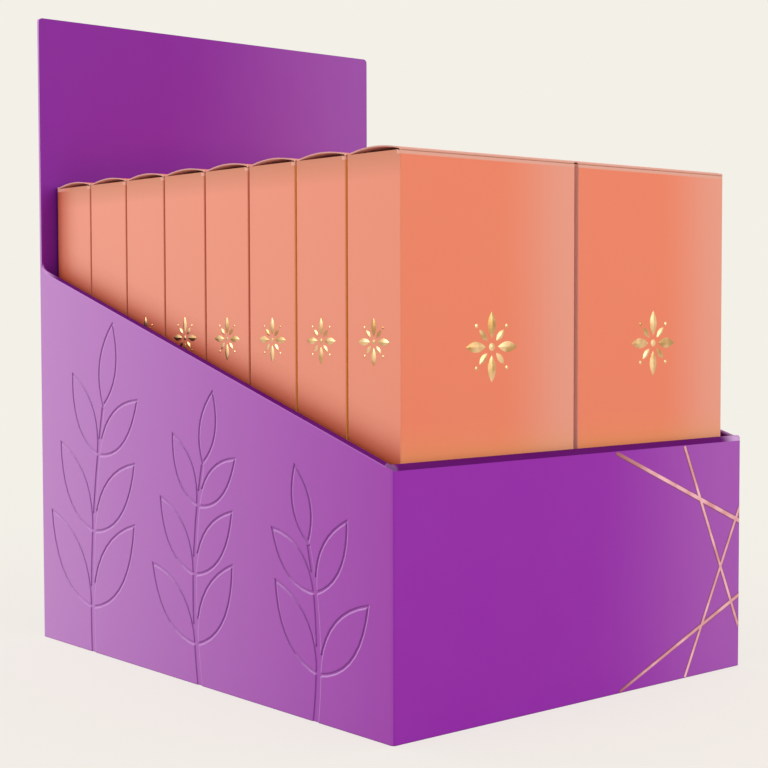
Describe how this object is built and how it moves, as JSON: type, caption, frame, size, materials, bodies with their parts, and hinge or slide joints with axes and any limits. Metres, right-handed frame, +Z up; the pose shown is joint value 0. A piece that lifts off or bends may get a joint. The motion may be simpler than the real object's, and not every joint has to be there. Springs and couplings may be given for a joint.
{
  "type": "counter display box",
  "caption": "Countertop display tray of folded board with sloping sides and a tall header, holding two columns of slim tuck-top cartons whose lids hinge open.",
  "frame": {"origin": "middle of the base, on the surface the display stands on", "axes": "+Z up, -Y towards the customer, +Y towards the header, +X to the customer's right"},
  "size_m": [0.2, 0.2564, 0.2927],
  "materials": {
    "display_board": "satin coated purple print",
    "carton_board": "satin coated coral print",
    "lid_board": "satin coated coral print"
  },
  "bodies": {
    "root": {"display_tray": "display_board", "carton_left_1": "carton_board", "carton_left_2": "carton_board", "carton_left_3": "carton_board", "carton_left_4": "carton_board", "carton_left_5": "carton_board", "carton_left_6": "carton_board", "carton_left_7": "carton_board", "carton_left_8": "carton_board", "carton_right_1": "carton_board", "carton_right_2": "carton_board", "carton_right_3": "carton_board", "carton_right_4": "carton_board", "carton_right_5": "carton_board", "carton_right_6": "carton_board", "carton_right_7": "carton_board", "carton_right_8": "carton_board"},
    "lid_left_1": {"lid_left_1": "lid_board"},
    "lid_left_2": {"lid_left_2": "lid_board"},
    "lid_left_3": {"lid_left_3": "lid_board"},
    "lid_left_4": {"lid_left_4": "lid_board"},
    "lid_left_5": {"lid_left_5": "lid_board"},
    "lid_left_6": {"lid_left_6": "lid_board"},
    "lid_left_7": {"lid_left_7": "lid_board"},
    "lid_left_8": {"lid_left_8": "lid_board"},
    "lid_right_1": {"lid_right_1": "lid_board"},
    "lid_right_2": {"lid_right_2": "lid_board"},
    "lid_right_3": {"lid_right_3": "lid_board"},
    "lid_right_4": {"lid_right_4": "lid_board"},
    "lid_right_5": {"lid_right_5": "lid_board"},
    "lid_right_6": {"lid_right_6": "lid_board"},
    "lid_right_7": {"lid_right_7": "lid_board"},
    "lid_right_8": {"lid_right_8": "lid_board"}
  },
  "joints": [
    {"name": "lid_hinge_left_1", "type": "hinge", "parent": "root", "child": "lid_left_1", "pos_m": [-0.04653, -0.12297, 0.2133], "axis": [1, 0, 0], "range_deg": [0, 165]},
    {"name": "lid_hinge_left_2", "type": "hinge", "parent": "root", "child": "lid_left_2", "pos_m": [-0.04653, -0.09187, 0.2133], "axis": [1, 0, 0], "range_deg": [0, 110]},
    {"name": "lid_hinge_left_3", "type": "hinge", "parent": "root", "child": "lid_left_3", "pos_m": [-0.04653, -0.06077, 0.2133], "axis": [1, 0, 0], "range_deg": [0, 110]},
    {"name": "lid_hinge_left_4", "type": "hinge", "parent": "root", "child": "lid_left_4", "pos_m": [-0.04653, -0.02967, 0.2133], "axis": [1, 0, 0], "range_deg": [0, 110]},
    {"name": "lid_hinge_left_5", "type": "hinge", "parent": "root", "child": "lid_left_5", "pos_m": [-0.04653, 0.00143, 0.2133], "axis": [1, 0, 0], "range_deg": [0, 110]},
    {"name": "lid_hinge_left_6", "type": "hinge", "parent": "root", "child": "lid_left_6", "pos_m": [-0.04653, 0.03253, 0.2133], "axis": [1, 0, 0], "range_deg": [0, 110]},
    {"name": "lid_hinge_left_7", "type": "hinge", "parent": "root", "child": "lid_left_7", "pos_m": [-0.04653, 0.06363, 0.2133], "axis": [1, 0, 0], "range_deg": [0, 110]},
    {"name": "lid_hinge_left_8", "type": "hinge", "parent": "root", "child": "lid_left_8", "pos_m": [-0.04653, 0.09473, 0.2133], "axis": [1, 0, 0], "range_deg": [0, 110]},
    {"name": "lid_hinge_right_1", "type": "hinge", "parent": "root", "child": "lid_right_1", "pos_m": [0.04653, -0.12297, 0.2133], "axis": [1, 0, 0], "range_deg": [0, 165]},
    {"name": "lid_hinge_right_2", "type": "hinge", "parent": "root", "child": "lid_right_2", "pos_m": [0.04653, -0.09187, 0.2133], "axis": [1, 0, 0], "range_deg": [0, 110]},
    {"name": "lid_hinge_right_3", "type": "hinge", "parent": "root", "child": "lid_right_3", "pos_m": [0.04653, -0.06077, 0.2133], "axis": [1, 0, 0], "range_deg": [0, 110]},
    {"name": "lid_hinge_right_4", "type": "hinge", "parent": "root", "child": "lid_right_4", "pos_m": [0.04653, -0.02967, 0.2133], "axis": [1, 0, 0], "range_deg": [0, 110]},
    {"name": "lid_hinge_right_5", "type": "hinge", "parent": "root", "child": "lid_right_5", "pos_m": [0.04653, 0.00143, 0.2133], "axis": [1, 0, 0], "range_deg": [0, 110]},
    {"name": "lid_hinge_right_6", "type": "hinge", "parent": "root", "child": "lid_right_6", "pos_m": [0.04653, 0.03253, 0.2133], "axis": [1, 0, 0], "range_deg": [0, 110]},
    {"name": "lid_hinge_right_7", "type": "hinge", "parent": "root", "child": "lid_right_7", "pos_m": [0.04653, 0.06363, 0.2133], "axis": [1, 0, 0], "range_deg": [0, 110]},
    {"name": "lid_hinge_right_8", "type": "hinge", "parent": "root", "child": "lid_right_8", "pos_m": [0.04653, 0.09473, 0.2133], "axis": [1, 0, 0], "range_deg": [0, 110]}
  ]
}
